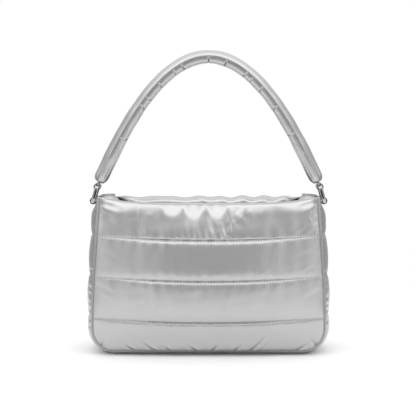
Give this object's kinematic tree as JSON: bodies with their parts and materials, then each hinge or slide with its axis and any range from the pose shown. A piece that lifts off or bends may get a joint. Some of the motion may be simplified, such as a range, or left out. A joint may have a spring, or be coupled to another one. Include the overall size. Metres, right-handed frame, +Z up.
{
  "type": "puffer shoulder bag",
  "caption": "Quilted padded shoulder bag of silver cloth, open at the top, with gathered rims, a gusset under and up both sides, and a stuffed arched handle held by metal rings.",
  "frame": {"origin": "on the floor, under the middle of the bag", "axes": "+X across the bag to the right as seen from its front, +Y from the front to the back, +Z up"},
  "size_m": [0.3016, 0.1126, 0.3728],
  "materials": {
    "quilted_cloth": "metallic coated nylon, satin",
    "handle_cloth": "metallic coated nylon, satin",
    "ring_metal": "polished dark nickel"
  },
  "bodies": {
    "root": {"front_panel": "quilted_cloth", "back_panel": "quilted_cloth", "gusset": "quilted_cloth", "handle": "handle_cloth", "handle_loop_left": "handle_cloth", "handle_loop_right": "handle_cloth", "ring_tab_left": "handle_cloth", "ring_tab_right": "handle_cloth", "ring_left": "ring_metal", "ring_right": "ring_metal"}
  },
  "joints": []
}
